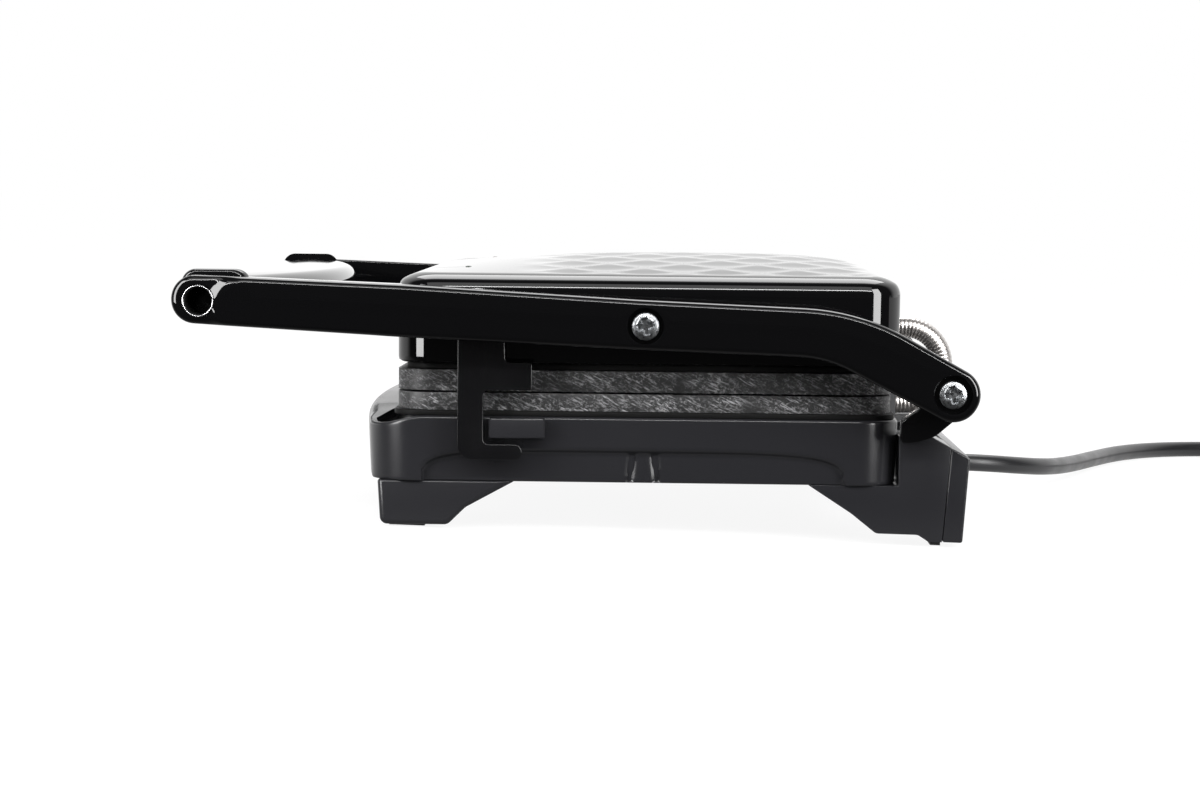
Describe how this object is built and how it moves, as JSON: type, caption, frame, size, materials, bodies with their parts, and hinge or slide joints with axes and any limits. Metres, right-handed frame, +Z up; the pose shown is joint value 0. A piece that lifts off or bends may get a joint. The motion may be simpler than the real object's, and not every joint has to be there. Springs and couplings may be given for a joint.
{
  "type": "panini press",
  "caption": "Two-plate contact grill with a domed cover on a side-armed handle, a hooked side latch, splayed feet and a mains lead",
  "frame": {"origin": "centre of the machine's footprint box, on the table under its pads, without the mains cord", "axes": "+Z up, +Y to the rear hinge, -Y to the grip, +X to the side with the latch"},
  "size_m": [0.4564, 0.5635, 0.0944],
  "materials": {
    "base_plastic": "satin moulded, fine grain",
    "plated_steel": "zinc-plated sheet",
    "zinc_steel": "bright zinc plate",
    "rubber_black": "matte moulded rubber",
    "gloss_black": "high gloss black",
    "latch_black": "satin gloss black",
    "seat_black": "matte black paint",
    "cast_coated": "non-stick coating over a rough casting",
    "element_steel": "heat-dulled steel sheath",
    "reflector_aluminium": "bright rolled sheet",
    "ceramic_white": "glazed ceramic",
    "collar_grey": "moulded grey-black",
    "hose_steel": "interlocked steel strip",
    "tube_chrome": "polished",
    "bush_brass": "turned",
    "lens_red": "clear tinted",
    "lens_green": "clear tinted",
    "cord_pvc": "satin black jacket",
    "plug_pvc": "moulded black"
  },
  "bodies": {
    "base": {"base_shell": "base_plastic", "bottom_cover": "plated_steel", "bottom_posts": "base_plastic", "bottom_screws": "zinc_steel", "front_foot_right": "base_plastic", "front_foot_left": "base_plastic", "rear_leg_right": "base_plastic", "rear_leg_left": "base_plastic", "rear_panel": "base_plastic", "front_pads": "rubber_black", "rear_pads": "rubber_black", "hinge_ear_right": "gloss_black", "hinge_ear_left": "gloss_black", "latch_keeper": "base_plastic", "lower_seat": "seat_black", "lower_plate": "cast_coated", "lower_element": "element_steel", "lower_reflector": "reflector_aluminium", "thermostat": "ceramic_white", "thermal_fuse": "element_steel", "terminal_block": "ceramic_white", "base_collar": "collar_grey", "hinge_screws": "zinc_steel", "hinge_bushes": "bush_brass", "conduit_lower": "hose_steel", "cord_gland": "rubber_black", "cord": "cord_pvc", "cord_coil": "cord_pvc", "cord_tail": "cord_pvc", "plug": "plug_pvc"},
    "handle": {"arm_right": "gloss_black", "arm_left": "gloss_black", "grip": "gloss_black", "grip_tube": "tube_chrome", "latch_screw": "zinc_steel", "conduit_upper": "hose_steel"},
    "cover": {"cover_shell": "gloss_black", "upper_seat": "seat_black", "upper_plate": "cast_coated", "upper_element": "element_steel", "upper_reflector": "reflector_aluminium", "pilot_lens_power": "lens_red", "pilot_lens_ready": "lens_green", "cover_collar": "collar_grey", "tilt_screws": "zinc_steel", "tilt_bushes": "bush_brass"},
    "latch": {"latch": "latch_black"}
  },
  "joints": [
    {"name": "handle_hinge", "type": "hinge", "parent": "base", "child": "handle", "pos_m": [0, 0.12462, 0.05252], "axis": [-1, 0, 0], "range_deg": [0, 100], "deforming": ["conduit_lower"]},
    {"name": "cover_tilt", "type": "hinge", "parent": "handle", "child": "cover", "pos_m": [0, 0.02311, 0.07134], "axis": [1, 0, 0], "range_deg": [0, 12], "deforming": ["conduit_upper"]},
    {"name": "latch_swing", "type": "hinge", "parent": "handle", "child": "latch", "pos_m": [0.126, -0.03195, 0.07324], "axis": [-1, 0, 0], "range_deg": [0, 20]}
  ],
  "couplings": [
    {"joint": "cover_tilt", "follows": "handle_hinge", "ratio": 0.12}
  ]
}
